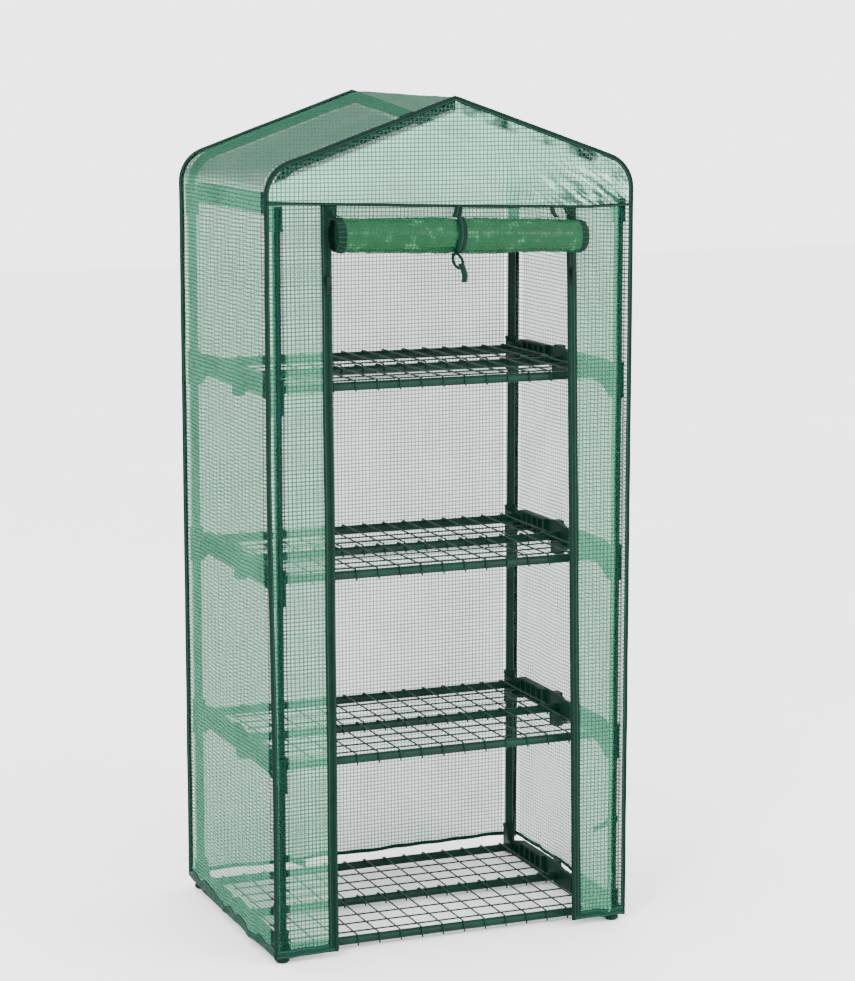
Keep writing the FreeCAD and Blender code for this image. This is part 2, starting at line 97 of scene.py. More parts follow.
CAMERA_AT = (-1.943, -4.842, 1.684)
CAMERA_YAW = 22.25                  # degrees to the right of straight ahead
CAMERA_PITCH = -9.44
CAMERA_LENS = 103.1


def make_camera():
    data = bpy.data.cameras.new("camera")
    data.lens = CAMERA_LENS
    data.sensor_width = 36.0
    cam = bpy.data.objects.new("camera", data)
    cam.location = CAMERA_AT
    cam.rotation_euler = (math.radians(90 + CAMERA_PITCH), 0, math.radians(-CAMERA_YAW))
    bpy.context.scene.collection.objects.link(cam)
    bpy.context.scene.camera = cam


make_camera()


# ---------------------------------------------------------------- material helpers

def new_material(name):
    mat = bpy.data.materials.new(name)
    mat.use_nodes = True
    nodes = mat.node_tree.nodes
    shader = nodes["Principled BSDF"]
    return mat, nodes, mat.node_tree.links, shader


def math_node(nodes, links, kind, a, b=None, c=None):
    node = nodes.new("ShaderNodeMath")
    node.operation = kind
    for socket, value in zip(node.inputs, (a, b, c)):
        if value is None:
            continue
        if isinstance(value, (int, float)):
            socket.default_value = value
        else:
            links.new(value, socket)
    return node.outputs[0]


def noise_node(nodes, links, vector, scale, detail=3.0, rough=0.55):
    node = nodes.new("ShaderNodeTexNoise")
    node.inputs["Scale"].default_value = scale
    node.inputs["Detail"].default_value = detail
    node.inputs["Roughness"].default_value = rough
    links.new(vector, node.inputs["Vector"])
    return node.outputs["Fac"]


def ramp(nodes, links, factor, stops):
    node = nodes.new("ShaderNodeValToRGB")
    elements = node.color_ramp.elements
    while len(elements) < len(stops):
        elements.new(0.5)
    for element, (place, colour) in zip(elements, stops):
        element.position = place
        element.color = (*colour, 1.0)
    links.new(factor, node.inputs["Fac"])
    return node.outputs["Color"]


def mix_colour(nodes, links, factor, a, b):
    node = nodes.new("ShaderNodeMix")
    node.data_type = "RGBA"
    for socket, value in ((node.inputs[0], factor), (node.inputs[6], a), (node.inputs[7], b)):
        if isinstance(value, tuple):
            socket.default_value = (*value, 1.0)
        elif isinstance(value, float):
            socket.default_value = value
        else:
            links.new(value, socket)
    return node.outputs[2]


def map_range(nodes, links, value, low, high, to_low, to_high):
    node = nodes.new("ShaderNodeMapRange")
    node.interpolation_type = "SMOOTHSTEP"
    for index, number in enumerate((low, high, to_low, to_high), 1):
        node.inputs[index].default_value = number
    links.new(value, node.inputs[0])
    return node.outputs[0]


def bump(nodes, links, height, strength, distance, shader):
    node = nodes.new("ShaderNodeBump")
    node.inputs["Strength"].default_value = strength
    node.inputs["Distance"].default_value = distance
    links.new(height, node.inputs["Height"])
    links.new(node.outputs["Normal"], shader.inputs["Normal"])


def thread_lines(nodes, links, coordinate, pitch, width):
    """1 on a thread and 0 between threads, across one direction."""
    cell = math_node(nodes, links, "FRACT", math_node(nodes, links, "DIVIDE", coordinate, pitch))
    off = math_node(nodes, links, "ABSOLUTE", math_node(nodes, links, "SUBTRACT", cell, 0.5))
    half = 0.5 * width / pitch
    return map_range(nodes, links, off, half * 0.6, half * 1.4, 1.0, 0.0)


# ---------------------------------------------------------------- materials

TUBE_AND_CREASE_SHADE = (0.0015, 0.022, 0.014)   # a tube seen through the sheet that lies on it, and the painted shade in the front gable's creases
# painted highlight beside the front gable's crease lines
PAINTED_CREASE_HIGHLIGHT = (0.75, 0.85, 0.80)


def tube_contact(nodes, links, at, cloud):
    """1 where a cover sheet lies on a post or a gable tube, patchy on the right slope, and 0 elsewhere."""
    def band(value, half):
        off = math_node(nodes, links, "ABSOLUTE", value)
        return map_range(nodes, links, off, half * 0.7, half * 1.3, 1.0, 0.0)

    x, y, z = at.outputs
    side = math_node(nodes, links, "ABSOLUTE", x)
    along_y = math_node(nodes, links, "ABSOLUTE", math_node(nodes, links, "SUBTRACT", y, POST_MID_Y))
    by_post_y = band(math_node(nodes, links, "SUBTRACT", along_y, POST_HALF_Y), POST_R)
    by_post_x = band(math_node(nodes, links, "SUBTRACT", side, POST_X), POST_R * 1.2)
    below_header = math_node(nodes, links, "LESS_THAN", z, HEADER_Z)
    by_post_x = math_node(nodes, links, "MULTIPLY", by_post_x, below_header)
    roof_line = math_node(nodes, links, "MULTIPLY_ADD", side, -math.tan(ROOF_SLOPE),
                          EAVE_Z + HALF_W * math.tan(ROOF_SLOPE) - GABLE_TUBE_DROP)
    by_gable = band(math_node(nodes, links, "SUBTRACT", z, roof_line), POST_R * 1.4)
    end_panel = math_node(nodes, links, "GREATER_THAN", along_y, POST_HALF_Y + POST_R + 0.002)
    patchy = map_range(nodes, links, cloud, 0.46, 0.58, 0.0, 1.0)
    left = math_node(nodes, links, "LESS_THAN", x, 0.0)
    pressed = math_node(nodes, links, "MAXIMUM", left, patchy)
    by_gable = math_node(nodes, links, "MULTIPLY", by_gable, pressed)
    by_gable = math_node(nodes, links, "MULTIPLY", by_gable, end_panel)
    by_post = math_node(nodes, links, "MAXIMUM", by_post_x, by_post_y)
    return math_node(nodes, links, "MAXIMUM", by_gable, by_post)


def painted_crease_shading(nodes, links, place, at):
    """Painted shade and painted highlight along crease lines that run down to the right corner of the front
    gable.
    """
    turned = nodes.new("ShaderNodeMapping")
    turned.vector_type = "TEXTURE"
    turned.inputs["Rotation"].default_value = (0, math.radians(35), 0)
    turned.inputs["Scale"].default_value = (0.045, 1, 0.0085)
    links.new(place, turned.inputs["Vector"])
    lines = noise_node(nodes, links, turned.outputs["Vector"], 1.0, 3.0, 0.6)
    corner = map_range(nodes, links, at.outputs[0], 0.10, 0.26, 0.0, 1.0)
    low = map_range(nodes, links, at.outputs[2], 1.37, 1.46, 1.0, 0.12)
    mask = math_node(nodes, links, "MULTIPLY", corner, low)
    # dark is painted shade in the crease lines, light is a painted highlight beside them
    dark = math_node(nodes, links, "MULTIPLY", map_range(nodes, links, lines, 0.51, 0.57, 0.0, 0.9), mask)
    light = math_node(nodes, links, "MULTIPLY", map_range(nodes, links, lines, 0.36, 0.43, 0.5, 0.0), mask)
    return dark, light


def cover_material(name, film, thread, film_alpha, thread_alpha, rough=0.28, shine=0.0, pale=None,
                   cloud_scale=9.0, top=None, painted_creases=False):
    """Translucent polyethylene film with a square net of reinforcing threads in it.

    top is (from height, to height, film colour, film alpha) where the sheet gets cloudier.
    Where the sheet lies on a tube, the tube shows through it more darkly.
    pale is a lighter film colour painted in speckles where the noise is high, a painted highlight, film
    itself by default.
    """
    mat, nodes, links, shader = new_material(name)
    uv = nodes.new("ShaderNodeUVMap")
    split = nodes.new("ShaderNodeSeparateXYZ")
    links.new(uv.outputs["UV"], split.inputs[0])
    along = thread_lines(nodes, links, split.outputs[0], MESH_PITCH, THREAD_WIDTH)
    across = thread_lines(nodes, links, split.outputs[1], MESH_PITCH, THREAD_WIDTH)
    net = math_node(nodes, links, "MAXIMUM", along, across)
    place = nodes.new("ShaderNodeTexCoord").outputs["Object"]
    cloud = noise_node(nodes, links, place, cloud_scale)
    shaded = tuple(0.78 * c for c in film)
    # the pale stop paints highlight speckles where the cloud noise is high
    film_tone = ramp(nodes, links, cloud, [(0.3, shaded), (0.58, film), (0.70, pale or film)])
    clear = film_alpha
    at = nodes.new("ShaderNodeSeparateXYZ")
    links.new(place, at.inputs[0])
    if top:
        up = map_range(nodes, links, at.outputs[2], top[0], top[1], 0.0, 1.0)
        film_tone = mix_colour(nodes, links, up, film_tone, top[2])
        clear = math_node(nodes, links, "MULTIPLY_ADD", up, top[3] - film_alpha, film_alpha)
    on_tube = tube_contact(nodes, links, at, cloud)
    thinned = math_node(nodes, links, "MULTIPLY_ADD", on_tube, -0.62, 1.0)
    clear = math_node(nodes, links, "MULTIPLY", clear, thinned)
    film_tone = mix_colour(nodes, links, on_tube, film_tone, TUBE_AND_CREASE_SHADE)
    darkened = math_node(nodes, links, "MULTIPLY", on_tube, 0.85)
    thread_tone = mix_colour(nodes, links, darkened, thread, TUBE_AND_CREASE_SHADE)
    colour = mix_colour(nodes, links, net, film_tone, thread_tone)
    if painted_creases:
        # painted shade and painted highlight along the front gable's creases
        dark, light = painted_crease_shading(nodes, links, place, at)
        colour = mix_colour(nodes, links, dark, colour, TUBE_AND_CREASE_SHADE)
        colour = mix_colour(nodes, links, light, colour, PAINTED_CREASE_HIGHLIGHT)
    links.new(colour, shader.inputs["Base Color"])
    creases = noise_node(nodes, links, place, 55.0, 4.0, 0.6)
    reach = math_node(nodes, links, "SUBTRACT", thread_alpha, clear)
    alpha = math_node(nodes, links, "MULTIPLY_ADD", net, reach, clear)
    milky = math_node(nodes, links, "MULTIPLY_ADD", cloud, 0.16, -0.08)
    links.new(math_node(nodes, links, "ADD", alpha, milky), shader.inputs["Alpha"])
    shade = math_node(nodes, links, "MULTIPLY_ADD", net, 0.22, rough)
    links.new(shade, shader.inputs["Roughness"])
    height = math_node(nodes, links, "MULTIPLY_ADD", creases, 1.6, net)
    bump(nodes, links, height, 0.55, 0.0008, shader)
    shader.inputs["Specular IOR Level"].default_value = shine
    return mat


def tape_material(name, dark, light):
    """Woven polyester tape: fine ribs along it, and a stitched row near each edge."""
    mat, nodes, links, shader = new_material(name)
    uv = nodes.new("ShaderNodeUVMap")
    split = nodes.new("ShaderNodeSeparateXYZ")
    links.new(uv.outputs["UV"], split.inputs[0])
    rib = thread_lines(nodes, links, split.outputs[1], 0.0012, 0.0007)
    pick = thread_lines(nodes, links, split.outputs[0], 0.0009, 0.0005)
    weave = math_node(nodes, links, "MULTIPLY_ADD", pick, 0.5, rib)
    stitch_row = thread_lines(nodes, links, split.outputs[1], 0.0095, 0.0009)
    stitch_gap = thread_lines(nodes, links, split.outputs[0], 0.0042, 0.0030)
    stitch = math_node(nodes, links, "MULTIPLY", stitch_row, stitch_gap)
    place = nodes.new("ShaderNodeTexCoord").outputs["Object"]
    wear = noise_node(nodes, links, place, 40.0, 5.0, 0.65)
    tone = ramp(nodes, links, wear, [(0.32, dark), (0.72, light)])
    shadow = mix_colour(nodes, links, math_node(nodes, links, "MULTIPLY", weave, 0.25), tone, light)
    thread = tuple(min(1.0, c * 2.4 + 0.02) for c in light)
    links.new(mix_colour(nodes, links, stitch, shadow, thread), shader.inputs["Base Color"])
    shader.inputs["Roughness"].default_value = 0.66
    shader.inputs["Specular IOR Level"].default_value = 0.08
    height = math_node(nodes, links, "MULTIPLY_ADD", stitch, 1.4, weave)
    bump(nodes, links, height, 0.5, 0.0005, shader)
    return mat


def coated_steel_material():
    mat, nodes, links, shader = new_material("green_powder_coat")
    place = nodes.new("ShaderNodeTexCoord").outputs["Object"]
    mottle = noise_node(nodes, links, place, 14.0)
    tone = ramp(nodes, links, mottle, [(0.35, (0.0005, 0.012, 0.008)), (0.7, (0.0010, 0.020, 0.013))])
    links.new(tone, shader.inputs["Base Color"])
    grain = noise_node(nodes, links, place, 900.0, 2.0)
    links.new(map_range(nodes, links, mottle, 0.3, 0.7, 0.36, 0.48), shader.inputs["Roughness"])
    bump(nodes, links, grain, 0.25, 0.0003, shader)
    shader.inputs["Specular IOR Level"].default_value = 0.12
    return mat


def moulded_material():
    mat, nodes, links, shader = new_material("green_moulded_plastic")
    place = nodes.new("ShaderNodeTexCoord").outputs["Object"]
    mottle = noise_node(nodes, links, place, 22.0)
    tone = ramp(nodes, links, mottle, [(0.3, (0.0005, 0.012, 0.008)), (0.75, (0.0013, 0.020, 0.013))])
    links.new(tone, shader.inputs["Base Color"])
    grain = noise_node(nodes, links, place, 1400.0, 3.0)
    links.new(map_range(nodes, links, mottle, 0.3, 0.7, 0.48, 0.62), shader.inputs["Roughness"])
    bump(nodes, links, grain, 0.35, 0.0002, shader)
    shader.inputs["Specular IOR Level"].default_value = 0.10
    return mat


def metal_material(name, dark, light, rough_low, rough_high):
    mat, nodes, links, shader = new_material(name)
    place = nodes.new("ShaderNodeTexCoord").outputs["Object"]
    streaks = noise_node(nodes, links, place, 160.0, 4.0)
    links.new(ramp(nodes, links, streaks, [(0.3, dark), (0.7, light)]), shader.inputs["Base Color"])
    links.new(map_range(nodes, links, streaks, 0.3, 0.7, rough_low, rough_high), shader.inputs["Roughness"])
    bump(nodes, links, streaks, 0.2, 0.0002, shader)
    shader.inputs["Metallic"].default_value = 1.0
    return mat


THREAD = (0.020, 0.072, 0.044)
COVER = cover_material("cover_sheet", (0.090, 0.265, 0.170), THREAD, 0.52, 0.88,
                       top=(1.385, 1.415, (0.022, 0.060, 0.040), 0.80))
# the front gable sheet carries painted crease shade and painted highlights
GABLE = cover_material("gable_sheet", (0.200, 0.430, 0.310), (0.040, 0.105, 0.070), 0.86, 0.95,
                       shine=0.12, painted_creases=True)
# the roll's pale speckles are a painted highlight
ROLLED = cover_material("rolled_sheet", (0.0003, 0.045, 0.013), (0.0008, 0.036, 0.012), 0.97, 0.99, 0.20,
                        shine=0.16, pale=(0.028, 0.130, 0.052), cloud_scale=42.0)
TAPE = tape_material("dark_binding", (0.0003, 0.0075, 0.0045), (0.0009, 0.015, 0.0090))
HEM = tape_material("hem_binding", (0.0007, 0.014, 0.009), (0.0020, 0.028, 0.018))
STEEL = coated_steel_material()
MOULDED = moulded_material()
PIN = metal_material("pin_steel", (0.30, 0.31, 0.32), (0.55, 0.56, 0.57), 0.25, 0.45)
ZIP_METAL = metal_material("zip_metal", (0.004, 0.010, 0.008), (0.012, 0.024, 0.020), 0.4, 0.6)


# ---------------------------------------------------------------- mesh helpers

def make_object(name, mesh, materials):
    obj = bpy.data.objects.new(name, mesh)
    bpy.context.scene.collection.objects.link(obj)
    for mat in materials:
        mesh.materials.append(mat)
    for polygon in mesh.polygons:
        polygon.use_smooth = True
    return obj


def grid_sheet(name, rows, material, uvs, skip=None):
    """One continuous sheet through rows of points, with its own cloth coordinates in metres."""
    bm = bmesh.new()
    layer = bm.loops.layers.uv.new("UVMap")
    grid = [[bm.verts.new(p) for p in row] for row in rows]
    for r in range(len(rows) - 1):
        for c in range(len(rows[0]) - 1):
            if skip and skip(r, c):
                continue
            corners = [(r, c), (r, c + 1), (r + 1, c + 1), (r + 1, c)]
            face = bm.faces.new([grid[i][j] for i, j in corners])
            for loop, (i, j) in zip(face.loops, corners):
                loop[layer].uv = uvs[i][j]
    bmesh.ops.remove_doubles(bm, verts=bm.verts, dist=0.02 * MM)
    loose = [v for v in bm.verts if not v.link_faces]
    bmesh.ops.delete(bm, geom=loose, context="VERTS")
    mesh = bpy.data.meshes.new(name)
    bm.to_mesh(mesh)
    bm.free()
    return make_object(name, mesh, [material])


def sweep(name, stations, profile, material, scale=None):
    """A closed profile of (a, b) carried through stations of (origin, e1, e2), capped at both ends."""
    bm = bmesh.new()
    layer = bm.loops.layers.uv.new("UVMap")
    around = [0.0]
    for (a0, b0), (a1, b1) in zip(profile, profile[1:] + profile[:1]):
        around.append(around[-1] + math.hypot(a1 - a0, b1 - b0))
    length = 0.0
    rings, lengths = [], []
    for n, (origin, e1, e2) in enumerate(stations):
        if n:
            length += (origin - stations[n - 1][0]).length
        grow = scale(n / (len(stations) - 1)) if scale else 1.0
        rings.append([bm.verts.new(origin + e1 * (a * grow) + e2 * (b * grow)) for a, b in profile])
        lengths.append(length)
    count = len(profile)
    for n in range(len(rings) - 1):
        for k in range(count):
            face = bm.faces.new([rings[n][k], rings[n + 1][k], rings[n + 1][(k + 1) % count],
                                 rings[n][(k + 1) % count]])
            spots = [(lengths[n], around[k]), (lengths[n + 1], around[k]),
                     (lengths[n + 1], around[k + 1]), (lengths[n], around[k + 1])]
            for loop, spot in zip(face.loops, spots):
                loop[layer].uv = spot
    bm.faces.new(rings[0])
    bm.faces.new(list(reversed(rings[-1])))
    bmesh.ops.recalc_face_normals(bm, faces=bm.faces)
    mesh = bpy.data.meshes.new(name)
    bm.to_mesh(mesh)
    bm.free()
    return make_object(name, mesh, [material])


def band_profile(width, thick):
    """A flat tape with rounded edges, about the middle of its width and thickness."""
    w, t = width / 2, thick / 2
    return [(-w, 0), (-w + t * 0.6, -t), (0, -t), (w - t * 0.6, -t), (w, 0), (w - t * 0.6, t), (0, t),
            (-w + t * 0.6, t)]


def smooth_path(points, steps=8):
    """Catmull-Rom curve through the points."""
    line = []
    ends = [points[0] * 2 - points[1]] + points + [points[-1] * 2 - points[-2]]
    for p0, p1, p2, p3 in zip(ends, ends[1:], ends[2:], ends[3:]):
        for n in range(steps):
            t = n / steps
            line.append(0.5 * ((p1 * 2) + (p2 - p0) * t + (p0 * 2 - p1 * 5 + p2 * 4 - p3) * t * t
                               + (p1 * 3 - p0 - p2 * 3 + p3) * t * t * t))
    return line + [points[-1]]


def stations_along(path, width_dir):
    """Frames along a path whose width stays near a given direction."""
    frames = []
    for n, p in enumerate(path):
        ahead = path[min(n + 1, len(path) - 1)] - path[max(n - 1, 0)]
        across = width_dir(n / (len(path) - 1)) if callable(width_dir) else width_dir
        out = ahead.cross(across).normalized()
        frames.append((p, out.cross(ahead).normalized(), out))
    return frames


def step(value, low, high):
    t = min(1.0, max(0.0, (value - low) / (high - low)))
    return t * t * (3 - 2 * t)


def header_z(x):
    """The header hangs lower towards the right, and lifts again at the corner."""
    return HEADER_Z - 0.0045 + HEADER_TILT * x + 0.004 * step(x, 0.24, 0.34)


def leaned(point):
    """The upper part of the front left corner of the cover stands out a little."""
    side = step(-point.x, HALF_W - 0.10, HALF_W)
    front = 1 - step((point.y - FRONT_Y) / (REAR_Y - FRONT_Y), 0.0, 0.8)
    point.x -= 0.007 * side * front * step(point.z, 0.25, 0.95)
    return point


# ---------------------------------------------------------------- the cover's outline and creases

def outline(fraction):
    """Point and outward normal on the gable outline, from the left eave (0) to the right (1)."""
    turn = math.pi / 2 - ROOF_SLOPE
    run = EAVE_ROUND * math.tan(turn / 2)
    arc = EAVE_ROUND * turn
    slope = (HALF_W - run * math.cos(ROOF_SLOPE)) / math.cos(ROOF_SLOPE)
    half_length = arc + slope
    side = -1 if fraction <= 0.5 else 1
    s = half_length * (1 - abs(2 * fraction - 1))
    if s < arc:
        angle = s / EAVE_ROUND
        x = HALF_W - EAVE_ROUND + EAVE_ROUND * math.cos(angle)
        z = EAVE_Z - run + EAVE_ROUND * math.sin(angle)
        normal = Vector((math.cos(angle), 0, math.sin(angle)))
    else:
        d = s - arc
        x = HALF_W - run * math.cos(ROOF_SLOPE) - d * math.cos(ROOF_SLOPE)
        z = EAVE_Z + run * math.sin(ROOF_SLOPE) + d * math.sin(ROOF_SLOPE)
        normal = Vector((math.sin(ROOF_SLOPE), 0, math.cos(ROOF_SLOPE)))
    if side < 0:
        x, normal.x = -x, -normal.x
    return Vector((x, 0, z)), normal


def outline_length():
    turn = math.pi / 2 - ROOF_SLOPE
    run = EAVE_ROUND * math.tan(turn / 2)
    return 2 * (EAVE_ROUND * turn + (HALF_W - run * math.cos(ROOF_SLOPE)) / math.cos(ROOF_SLOPE))


def ridged(a, b, seed):
    """A crease field: sharp crests with soft valleys, from 0 to 1."""
    return (1 - abs(noise.noise(Vector((a, b, seed))))) ** 3


def slack(a, b, seed, size=0.16, stretch=2.2):
    """How far a panel stands out of its plane: soft billows and a few sharp creases."""
    u = a / size
    v = b / (size * stretch)
    billow = noise.noise(Vector((u * 0.7, v * 0.7, seed)))
    crease = ridged(u, v, seed + 7.3) - 0.45
    fine = ridged(u * 2.7, v * 2.1, seed + 3.1) - 0.45
    return 0.0030 * billow + 0.0032 * crease + 0.0012 * fine


# ---------------------------------------------------------------- cover sheets

def zip_x(side, z):
    """The zips lean a little, as the CAD tapes do."""
    return ZIP_LOW_X[side] + (ZIP_HIGH_X[side] - ZIP_LOW_X[side]) * z / HEADER_Z


def hem_wave(t, seed, rise=0.006):
    """How far the lower edge of the cover rides up along its length."""
    slow = noise.noise(Vector((t * 7.0, seed, 0.4)))
    quick = noise.noise(Vector((t * 19.0, seed, 2.2)))
    return rise * (0.55 + slow + 0.4 * quick)


def front_out(x, z):
    """How far the front panel stands out towards -Y, fading to nothing at its bound edges."""
    edge = step(HALF_W - abs(x), 0.004, 0.035)
    out = 1.3 * slack(x, z, 1.7) * edge
    above = z - header_z(x)
    gable = step(above, 0.004, 0.03)
    from_zip = min(abs(x - zip_x("left", z)), abs(x - zip_x("right", z)))
    out *= max(gable, step(from_zip, 0.006, 0.040))
    diagonal = ridged((x * 0.62 + z * 0.78) / 0.030, (x * 0.78 - z * 0.62) / 0.15, 4.4) - 0.4
    right = step(x, 0.02, 0.12) * step(HALF_W - x, 0.01, 0.06)
    out += gable * right * 0.0075 * diagonal
    out += gable * edge * 0.0022 * (ridged(x / 0.05, z / 0.2, 9.1) - 0.4)
    low_right = step(x, 0.27, 0.30) * (1 - step(z, 0.06, 0.16))
    out += low_right * edge * 0.006 * (ridged((x - z) / 0.05, 0.3, 2.6) - 0.3)
    return max(-0.0060, out) * step(abs(above), 0.0, 0.02)


def front_panel_rows():
    left_cols, mid_cols, right_cols = 16, 60, 18
    strip_rows, gable_rows = 170, 26
    total = left_cols + mid_cols + right_cols

    def column_x(c, z):
        left = zip_x("left", z) + ZIP_WIDTH / 2
        right = zip_x("right", z) - ZIP_WIDTH / 2
        if c <= left_cols:
            return -HALF_W + (left + HALF_W) * c / left_cols
        if c <= left_cols + mid_cols:
            return left + (right - left) * (c - left_cols) / mid_cols
        return right + (HALF_W - right) * (c - left_cols - mid_cols) / right_cols

    rows, uvs = [], []
    for r in range(strip_rows + 1):
        row, uv = [], []
        for c in range(total + 1):
            t = r / strip_rows
            bottom = FRONT_HEM_Z + hem_wave(column_x(c, 0), 3.0, 0.002)
            z = bottom + (header_z(column_x(c, HEADER_Z)) - bottom) * t
            x = column_x(c, z)
            row.append(leaned(Vector((x, FRONT_Y - front_out(x, z), z))))
            uv.append((x, z))
        rows.append(row)
        uvs.append(uv)
    for r in range(1, gable_rows + 1):
        row, uv = [], []
        for c in range(total + 1):
            x0 = column_x(c, HEADER_Z)
            top, _ = outline(max(0.0, min(1.0, (x0 + HALF_W) / (2 * HALF_W))))
            t = r / gable_rows
            x = x0 + (top.x - x0) * t
            z = header_z(x0) + (max(top.z, header_z(x0)) - header_z(x0)) * t
            row.append(leaned(Vector((x, FRONT_Y - front_out(x, z) * step(1 - t, 0.0, 0.12), z))))
            uv.append((x, z))
        rows.append(row)
        uvs.append(uv)
    hole = lambda r, c: r < strip_rows and left_cols <= c < left_cols + mid_cols
    return rows, uvs, hole


def build_front_panel():
    rows, uvs, hole = front_panel_rows()
    panel = grid_sheet("front_panel", rows, COVER, uvs, hole)
    panel.data.materials.append(GABLE)
    for polygon in panel.data.polygons:
        if polygon.center.z > header_z(polygon.center.x):
            polygon.material_index = 1
    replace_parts(panel, "cover_front")
    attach(panel, "front_frame")


def rear_out(x, z):
    edge = step(HALF_W - abs(x), 0.004, 0.04)
    return max(-0.0060, 1.5 * slack(x, z, 21.3, 0.2, 2.6)) * edge


def build_rear_panel():
    cols, wall_rows, gable_rows = 90, 150, 22
    rows, uvs = [], []
    for r in range(wall_rows + gable_rows + 1):
        row, uv = [], []
        for c in range(cols + 1):
            x0 = -HALF_W + 2 * HALF_W * c / cols
            if r <= wall_rows:
                bottom = REAR_HEM_Z + hem_wave(x0, 8.0, 0.005)
                x, z = x0, bottom + (EAVE_START_Z - bottom) * r / wall_rows
            else:
                top, _ = outline(c / cols)
                t = (r - wall_rows) / gable_rows
                x = x0 + (top.x - x0) * t
                z = EAVE_START_Z + (top.z - EAVE_START_Z) * t
            fade = step(wall_rows + gable_rows - r, 0, 3)
            row.append((x, REAR_Y + rear_out(x, z) * fade, z))
            uv.append((x, z))
        rows.append(row)
        uvs.append(uv)
    panel = grid_sheet("rear_panel", rows, COVER, uvs)
    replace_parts(panel, "cover_rear")
    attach(panel, "rear_frame")


def shell_point(s, wall, roof):
    """A point of the sheet that goes up the left side, over the roof and down the right side."""
    if s <= wall:
        flat = Vector((-HALF_W, 0, EAVE_START_Z - wall + s))
        normal = Vector((-1, 0, 0))
    elif s <= wall + roof:
        flat, normal = outline((s - wall) / roof)
    else:
        flat = Vector((HALF_W, 0, EAVE_START_Z - (s - wall - roof)))
        normal = Vector((1, 0, 0))
    return flat, normal


def shell_out(s, y, wall, roof):
    """Slack of the side walls and the roof, nothing at the front and rear bindings."""
    edge = step(y - FRONT_Y, 0.003, 0.04) * step(REAR_Y - y, 0.003, 0.04)
    height = s if s < wall else 2 * wall + roof - s
    on_wall = 1 - step(height, wall - 0.05, wall + 0.03)
    out = (0.6 + 1.1 * on_wall) * slack(y, s, 31.0, 0.19, 2.4)
    depth = (y - FRONT_Y) / (REAR_Y - FRONT_Y)
    belly = math.sin(math.pi * depth)
    out += on_wall * belly * 0.0030 * (1 + noise.noise(Vector((height * 2.5, s, 5.0))))
    fold = ridged((y + 0.10 * height) / 0.045, height / 0.55, 14.0 + (s > wall)) - 0.4
    out += on_wall * belly * 0.0045 * fold
    tuck = on_wall * (1 - step(height, 0.0, 0.35))
    out += tuck * belly * 0.006 * noise.noise(Vector((y * 14.0, 2.0 + (s > wall), 1.0)))
    return max(-0.0050, out) * edge


def build_shell():
    wall = EAVE_START_Z - SIDE_HEM_Z
    roof = outline_length()
    rows_count, cols = 400, 56
    total = 2 * wall + roof
    rows, uvs = [], []
    for r in range(rows_count + 1):
        row, uv = [], []
        for c in range(cols + 1):
            y = FRONT_Y + (REAR_Y - FRONT_Y) * c / cols
            s = total * r / rows_count
            flat, normal = shell_point(s, wall, roof)
            side = 0.0 if s < total / 2 else 1.0
            from_hem = min(s, total - s)
            lift = side_hem_lift(y, side) * (1 - step(from_hem, 0.0, 0.25))
            point = flat + normal * shell_out(s, y, wall, roof)
            row.append(leaned(Vector((point.x, y, point.z + lift))))
            uv.append((y, s))
        rows.append(row)
        uvs.append(uv)
    shell = grid_sheet("side_and_roof_sheet", rows, COVER, uvs)
    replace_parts(shell, "cover_sides", "cover_roof")
    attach(shell, "front_frame")
    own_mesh(shell)


def side_hem_lift(y, side):
    """The side walls' lower edge rises towards the rear and waves."""
    depth = (y - FRONT_Y) / (REAR_Y - FRONT_Y)
    rise = 0.004 + 0.016 * (depth if side else 0.35 * depth)
    return rise * step(depth, 0.0, 0.15) + 0.5 * hem_wave(y, 12.0 + side, 0.007)


build_front_panel()
build_rear_panel()
build_shell()


# ---------------------------------------------------------------- binding, piping and hems

BINDING = [(0.3, -4.5), (1.0, -4.0), (1.3, -2.0), (2.4, -0.9), (2.7, 0.6), (1.8, 2.0), (0.2, 2.6),
           (-1.4, 2.0), (-2.6, 1.5), (-6.6, 1.3), (-7.0, 0.8), (-6.6, 0.3), (-0.4, 0.2), (0.1, -0.4)]


def edge_path(bottom_z, y):
    """Round the outside of an end panel: up one corner, over the gable, down the other."""
    frames = []
    wall_steps, roof_steps = 120, 90
    for n in range(wall_steps):
        z = bottom_z + (EAVE_START_Z - bottom_z) * n / wall_steps
        frames.append((Vector((-HALF_W, y, z)), Vector((-1, 0, 0))))
    for n in range(roof_steps + 1):
        point, normal = outline(n / roof_steps)
        frames.append((Vector((point.x, y, point.z)), normal))
    for n in range(1, wall_steps + 1):
        z = EAVE_START_Z + (bottom_z - EAVE_START_Z) * n / wall_steps
        frames.append((Vector((HALF_W, y, z)), Vector((1, 0, 0))))
    return frames


def build_edge_binding(name, body, bottom_z, y, outward, lap=0.0):
    stations = []
    for n, (point, normal) in enumerate(edge_path(bottom_z, y)):
        wander = 0.0006 * noise.noise(Vector((n * 0.11, outward, 6.0)))
        stations.append((leaned(point + normal * wander), normal, Vector((0, outward, 0))))
    profile = [(a * MM, (b - lap if b < -3 else b) * MM) for a, b in BINDING]
    binding = sweep(name, stations, profile, TAPE)
    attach(binding, body)


build_edge_binding("front_edge_binding", "front_frame", FRONT_HEM_Z, FRONT_Y, -1)
build_edge_binding("rear_edge_binding", "rear_frame", REAR_HEM_Z, REAR_Y, 1, 6.0)


